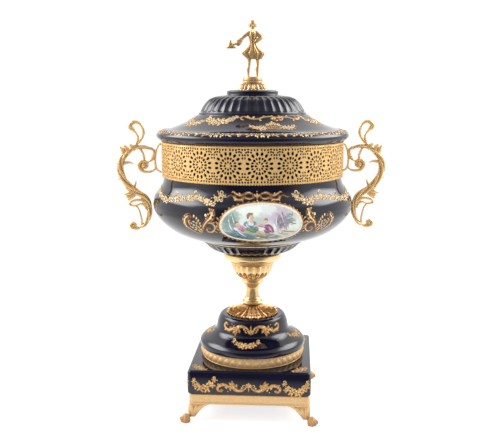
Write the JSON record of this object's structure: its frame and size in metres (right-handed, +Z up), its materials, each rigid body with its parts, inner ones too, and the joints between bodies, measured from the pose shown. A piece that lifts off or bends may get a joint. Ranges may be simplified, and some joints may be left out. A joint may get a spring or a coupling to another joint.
{
  "type": "covered urn",
  "caption": "Footed porcelain urn with a lifting lid, pierced gallery, cast scroll handles, figure finial and square plinth on bracket feet.",
  "frame": {"origin": "floor level under the urn's axis", "axes": "+Z up along the urn's axis, front with the painted panel towards -Y, handles along X; the plinth is turned 7.5 degrees clockwise seen from above, as it stands in the picture"},
  "size_m": [0.4274, 0.314, 0.6113],
  "materials": {
    "cobalt_porcelain": "deep cobalt glaze with painted gilding, glossy",
    "gilt_bright": "polished gilt casting",
    "gilt_matte": "matte gilt casting"
  },
  "bodies": {
    "root": {"footed_base_frame": "gilt_matte", "plinth": "cobalt_porcelain", "foot_ring": "gilt_matte", "round_foot": "cobalt_porcelain", "leaf_cap": "gilt_bright", "stem": "gilt_bright", "stem_cup": "gilt_bright", "bowl": "cobalt_porcelain", "gallery": "gilt_matte", "handle_left": "gilt_bright", "handle_right": "gilt_bright", "lid": "cobalt_porcelain", "finial_plate": "gilt_bright", "finial_figure": "gilt_bright"}
  },
  "joints": []
}
